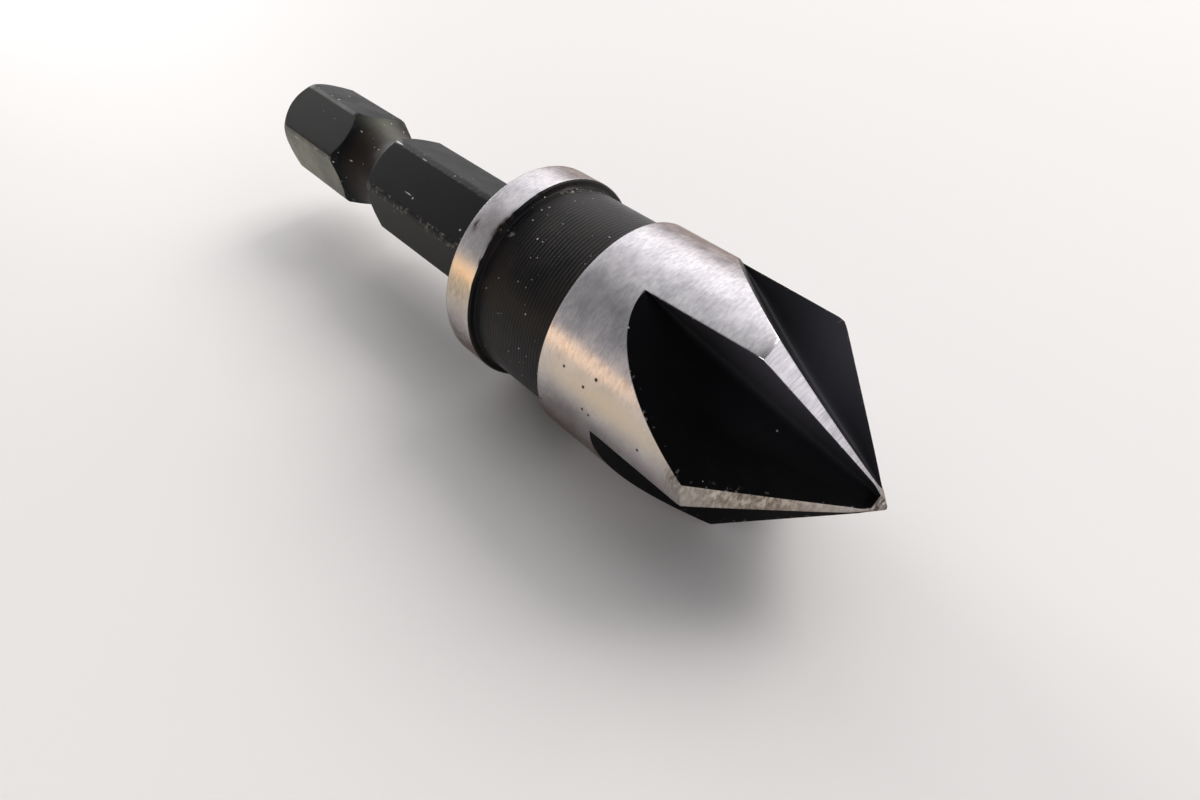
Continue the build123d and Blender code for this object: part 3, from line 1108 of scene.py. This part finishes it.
class COUNTERSINK_OT_stage(bpy.types.Operator):
    """Lay the pale floor, light it softly and set the camera"""

    bl_idname = "countersink.stage"
    bl_label = "Floor, Light and Camera"

    def execute(self, context):
        scene = context.scene
        self.lay_floor(scene)
        self.light_room(scene)
        for lamp in LAMPS:
            self.hang_lamp(scene, *lamp)
        self.set_camera(scene)
        scene.view_settings.view_transform = "Standard"
        return {"FINISHED"}

    @staticmethod
    def lay_floor(scene):
        """A plain matt floor far wider than the view."""
        mesh = bpy.data.meshes.new("floor")
        signs = ((-1, -1), (1, -1), (1, 1), (-1, 1))
        corners = [(x * FLOOR_REACH, y * FLOOR_REACH, 0) for x, y in signs]
        mesh.from_pydata(corners, [], [(0, 1, 2, 3)])
        floor = bpy.data.objects.new("floor", mesh)
        scene.collection.objects.link(floor)
        material = bpy.data.materials.new("pale_floor")
        tree = cleared(material)
        pale = scene.countersink_finish.floor[:]
        matt = {"Roughness": 0.65, "Specular_IOR_Level": 0.3}
        shader = add(tree, "BsdfPrincipled", Base_Color=pale, **matt)
        add(tree, "OutputMaterial", Surface=shader)
        mesh.materials.append(material)

    @staticmethod
    def light_room(scene):
        """A soft room, pale near the horizon and dimmer overhead."""
        world = bpy.data.worlds.new("studio")
        scene.world = world
        tree = cleared(world)
        toward = add(tree, "TexCoord").outputs["Generated"]
        rise = add(tree, "SeparateXYZ", Vector=toward).outputs["Z"]
        walls = {"From_Min": 0.12, "From_Max": 0.5, "To_Min": 0.68, "To_Max": 0.41}
        room = add(tree, "MapRange", Value=rise, **walls)
        along = {"operation": "DOT_PRODUCT"}
        side = add(tree, "VectorMath", along, _0=toward, _1=DAYLIGHT)
        daylight = add(tree, "MapRange", Value=side, From_Min=0.05, From_Max=0.95, To_Max=1.2)
        over = add(tree, "MapRange", Value=rise, From_Min=0.0, From_Max=0.4)
        daylight = add(tree, "Math", TIMES, _0=daylight, _1=over)
        both = add(tree, "Math", PLUS, _0=room, _1=daylight)
        at_card = add(tree, "VectorMath", along, _0=toward, _1=DARK_CARD)
        card = {"From_Min": 0.6, "From_Max": 0.88, "To_Min": 1, "To_Max": 0.08}
        shown = add(tree, "MapRange", Value=at_card, **card)
        strength = add(tree, "Math", TIMES, _0=both, _1=shown)
        sky = add(tree, "Background", Color=linear("#fbf9fb"), Strength=strength)
        add(tree, "OutputWorld", Surface=sky)

    @staticmethod
    def hang_lamp(scene, name, azimuth, elevation, distance, width, height, radiance, tint):
        """A rectangular soft lamp hung in a direction from the bit and turned to it."""
        data = bpy.data.lights.new(name, "AREA")
        data.shape = "RECTANGLE"
        data.size, data.size_y = width, height
        data.energy = radiance * math.pi * width * height
        data.color = linear(tint)[:3]
        azimuth, elevation = math.radians(azimuth), math.radians(elevation)
        level = math.cos(elevation)
        toward = Vector((level * math.cos(azimuth), level * math.sin(azimuth), math.sin(elevation)))
        lamp = bpy.data.objects.new(name, data)
        lamp.location = toward * distance + Vector((MIDDLE, 0, AXIS_HEIGHT))
        lamp.rotation_mode = "QUATERNION"
        lamp.rotation_quaternion = (-toward).to_track_quat("-Z", "Y")
        lamp.visible_camera = False
        scene.collection.objects.link(lamp)

    @staticmethod
    def set_camera(scene):
        """The camera at its fixed place from the middle of the cone's base."""
        data = bpy.data.cameras.new("camera")
        data.sensor_width = SENSOR
        data.lens = CAMERA_FOCUS / RENDER_WIDTH * SENSOR
        data.clip_start = MM
        data.clip_end = 10
        camera = bpy.data.objects.new("camera", data)
        scene.collection.objects.link(camera)
        forward, up = Vector(CAMERA_FORWARD), Vector(CAMERA_UP)
        turned = Matrix((forward.cross(up).normalized(), up, -forward)).transposed().to_4x4()
        base = Vector((cone_base(scene.countersink_sizes), 0, AXIS_HEIGHT))
        camera.matrix_world = Matrix.Translation(base + Vector(CAMERA_FROM_BASE) * MM) @ turned
        scene.camera = camera


class COUNTERSINK_PT_panel(bpy.types.Panel):
    """The bit's operators, sizes and colours"""

    bl_idname = "COUNTERSINK_PT_panel"
    bl_label = "Countersink Bit"
    bl_space_type = "VIEW_3D"
    bl_region_type = "UI"
    bl_category = "Countersink"

    def draw(self, context):
        layout = self.layout
        layout.operator(COUNTERSINK_OT_bit.bl_idname)
        layout.operator(COUNTERSINK_OT_stage.bl_idname)
        for group in (context.scene.countersink_sizes, context.scene.countersink_finish):
            box = layout.box()
            for key in group.__annotations__:
                box.prop(group, key)


CLASSES = (
    CountersinkSizes,
    CountersinkFinish,
    COUNTERSINK_OT_bit,
    COUNTERSINK_OT_stage,
    COUNTERSINK_PT_panel,
)


def register():
    """Registers the classes and hangs the two groups on the scene."""
    for cls in CLASSES:
        bpy.utils.register_class(cls)
    bpy.types.Scene.countersink_sizes = bpy.props.PointerProperty(type=CountersinkSizes)
    bpy.types.Scene.countersink_finish = bpy.props.PointerProperty(type=CountersinkFinish)


def unregister():
    """Takes the groups and classes away again."""
    del bpy.types.Scene.countersink_finish
    del bpy.types.Scene.countersink_sizes
    for cls in reversed(CLASSES):
        bpy.utils.unregister_class(cls)


def main():
    """Builds the bit and its stage."""
    register()
    bpy.ops.countersink.bit()
    bpy.ops.countersink.stage()


if __name__ == "__main__":
    main()
